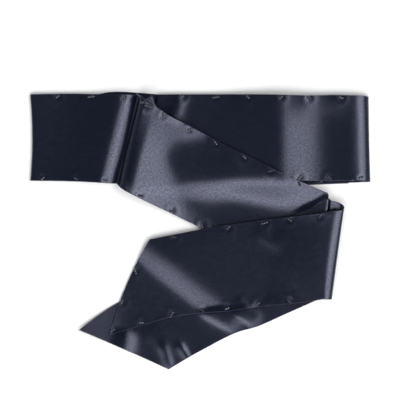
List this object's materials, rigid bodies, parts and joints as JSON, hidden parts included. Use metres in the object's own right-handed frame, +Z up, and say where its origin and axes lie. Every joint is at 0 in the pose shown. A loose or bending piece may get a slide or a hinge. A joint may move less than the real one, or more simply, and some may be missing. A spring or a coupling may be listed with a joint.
{
  "type": "satin sash cummerbund",
  "caption": "Long satin sash cummerbund with slantwise ends, doubled at its middle and folded flat in a zigzag, lying on a surface.",
  "frame": {"origin": "centre of the folded sash's outline, on the surface that it lies on", "axes": "+X to the right along the folded band, +Y towards the band's far edge, +Z up off the surface"},
  "size_m": [0.4356, 0.3554, 0.0158],
  "materials": {
    "satin": "satin"
  },
  "bodies": {
    "root": {"lower_run": "satin", "upper_run": "satin", "band_layers": "satin", "crossing": "satin", "crossing_under": "satin", "inner_tail": "satin", "outer_tail": "satin"}
  },
  "joints": []
}
